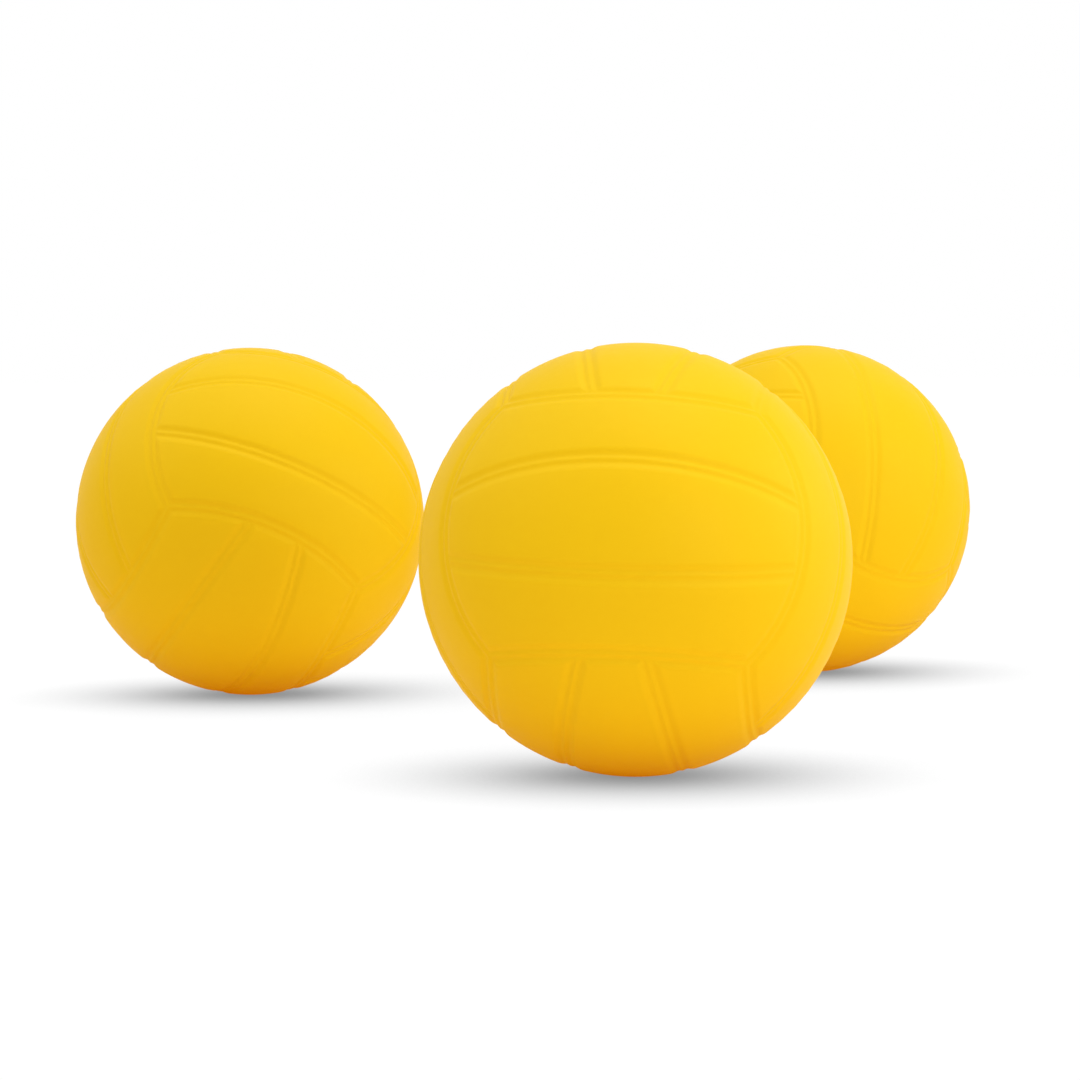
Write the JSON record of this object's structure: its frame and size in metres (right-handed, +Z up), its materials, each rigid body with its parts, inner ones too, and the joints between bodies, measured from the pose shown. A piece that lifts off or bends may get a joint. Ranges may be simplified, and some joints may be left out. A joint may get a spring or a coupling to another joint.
{
  "type": "volleyball set",
  "caption": "Inflated volleyballs with moulded, seamed rubber covers, wound and bladdered inside, each with a needle valve, standing loose on the floor.",
  "frame": {"origin": "the point of the floor under the front ball, at the middle of the small flat on which it stands", "axes": "+Z up from the floor; +Y from the front ball towards the two balls behind it; +X to the right as seen from the front"},
  "size_m": [0.556, 0.7969, 0.2098],
  "materials": {
    "cover": "satin moulded rubber, bright yellow, with a fine grain",
    "winding": "nylon thread set in latex",
    "bladder": "matt butyl rubber",
    "valve_boot": "matt moulded rubber",
    "valve_core": "soft rubber, slightly shiny"
  },
  "bodies": {
    "front_ball": {"front_cover": "cover", "front_winding": "winding", "front_bladder": "bladder", "front_valve_boot": "valve_boot", "front_valve_core": "valve_core"},
    "left_ball": {"left_cover": "cover", "left_winding": "winding", "left_bladder": "bladder", "left_valve_boot": "valve_boot", "left_valve_core": "valve_core"},
    "right_ball": {"right_cover": "cover", "right_winding": "winding", "right_bladder": "bladder", "right_valve_boot": "valve_boot", "right_valve_core": "valve_core"}
  },
  "joints": [
    {"name": "left_ball_lift", "type": "slide", "parent": "front_ball", "child": "left_ball", "axis": [0, 0, 1], "range_m": [0, 0.25]},
    {"name": "right_ball_lift", "type": "slide", "parent": "front_ball", "child": "right_ball", "axis": [0, 0, 1], "range_m": [0, 0.25]}
  ]
}
